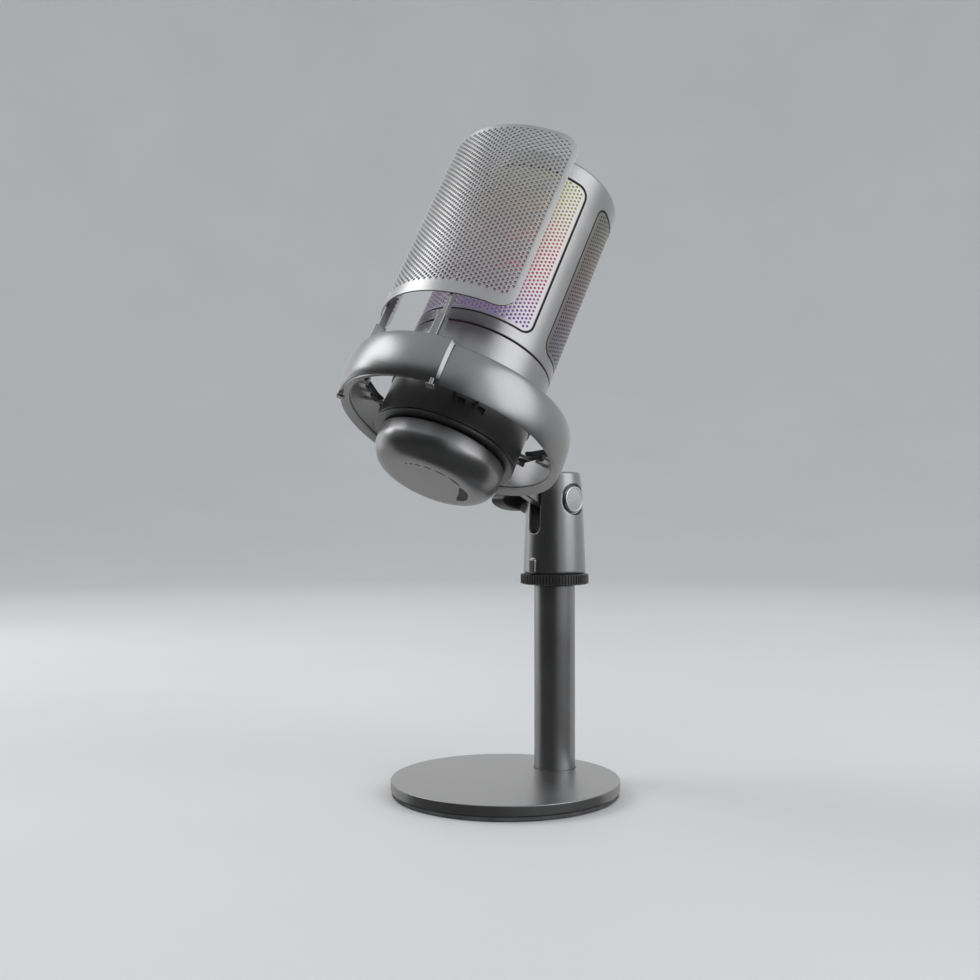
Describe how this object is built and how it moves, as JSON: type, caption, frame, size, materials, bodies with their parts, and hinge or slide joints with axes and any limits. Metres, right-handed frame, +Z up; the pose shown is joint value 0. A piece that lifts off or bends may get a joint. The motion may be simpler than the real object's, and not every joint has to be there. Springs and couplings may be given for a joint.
{
  "type": "desktop microphone",
  "caption": "Desktop microphone on a round base: tilting shock-mount ring on a swivel fork, elastic cords, clip-on perforated pop filter, lit grille windows and a gain knob underneath.",
  "frame": {"origin": "centre of the round base's underside, on the surface it stands on", "axes": "+Z up along the pole; the microphone's front faces -Y and its head leans back towards +Y; the fork's metal bolt cap is on +X and its thumb knob on -X"},
  "size_m": [0.1, 0.1326, 0.2887],
  "materials": {
    "gunmetal_paint": "satin",
    "silver_paint": "satin",
    "light_plastic": "satin",
    "black_plastic": "matte",
    "satin_knob": "satin",
    "bare_steel": "brushed",
    "brass": "satin",
    "rubber": "matte",
    "nylon": "matte",
    "lit_diffuser": "satin",
    "circuit_board": "satin",
    "elastic": "woven"
  },
  "bodies": {
    "stand": {"base_plate": "gunmetal_paint", "base_foot_pad": "rubber", "base_screw": "bare_steel", "base_washer": "bare_steel", "pole": "gunmetal_paint"},
    "lock_ring": {"lock_ring": "black_plastic"},
    "fork": {"swivel_fork": "gunmetal_paint", "fork_thread_insert": "brass", "pivot_bolt": "bare_steel", "pivot_washer_right": "nylon", "pivot_washer_left": "nylon"},
    "thumb_knob": {"thumb_knob": "black_plastic", "thumb_knob_insert": "brass"},
    "ring": {"shock_ring": "gunmetal_paint", "ring_liner": "light_plastic", "filter_clip": "gunmetal_paint", "elastic_cord_1": "elastic", "elastic_cord_2": "elastic", "elastic_cord_3": "elastic", "elastic_cord_4": "elastic"},
    "pop_filter": {"pop_filter_screen": "silver_paint", "filter_stalk_right": "silver_paint", "filter_stalk_left": "silver_paint"},
    "microphone": {"head_frame": "silver_paint", "grille_front": "silver_paint", "grille_back": "silver_paint", "top_cap": "black_plastic", "light_diffuser": "lit_diffuser", "led_board": "circuit_board", "main_board": "circuit_board", "capsule": "brass", "capsule_mount": "rubber", "body_collar": "silver_paint", "usb_c_port": "bare_steel", "headphone_jack": "black_plastic", "cradle_sleeve": "black_plastic", "lower_barrel": "black_plastic", "chassis_tube": "black_plastic", "chassis_plate": "black_plastic", "chassis_screw_1": "bare_steel", "chassis_screw_2": "bare_steel", "chassis_screw_3": "bare_steel", "potentiometer": "bare_steel"},
    "gain_knob": {"gain_knob": "satin_knob", "pot_shaft": "bare_steel"}
  },
  "joints": [
    {"name": "lock_ring_spin", "type": "hinge", "parent": "stand", "child": "lock_ring", "pos_m": [0, 0.0314, 0.092], "axis": [0, 0, 1], "continuous": true},
    {"name": "fork_swivel", "type": "hinge", "parent": "stand", "child": "fork", "pos_m": [0, 0.0314, 0.0948], "axis": [0, 0, 1], "continuous": true},
    {"name": "thumb_knob_turn", "type": "hinge", "parent": "fork", "child": "thumb_knob", "pos_m": [-0.02, 0.0314, 0.1279], "axis": [1, 0, 0], "continuous": true},
    {"name": "head_tilt", "type": "hinge", "parent": "fork", "child": "ring", "pos_m": [0, 0.0314, 0.1279], "axis": [1, 0, 0], "range_deg": [-60, 50]},
    {"name": "filter_slide", "type": "slide", "parent": "ring", "child": "pop_filter", "axis": [0, 0.4833, 0.8755], "range_m": [0, 0.008]},
    {"name": "suspension_bounce", "type": "slide", "parent": "ring", "child": "microphone", "axis": [0, 0.4833, 0.8755], "range_m": [-0.002, 0.002], "stiffness_N_per_m": 6000, "springref_m": 0.0006, "deforming": ["elastic_cord_1", "elastic_cord_2", "elastic_cord_3", "elastic_cord_4"]},
    {"name": "gain_knob_turn", "type": "hinge", "parent": "microphone", "child": "gain_knob", "pos_m": [0, -0.03915, 0.14308], "axis": [0, 0.4833, 0.8755], "range_deg": [-135, 135]}
  ]
}
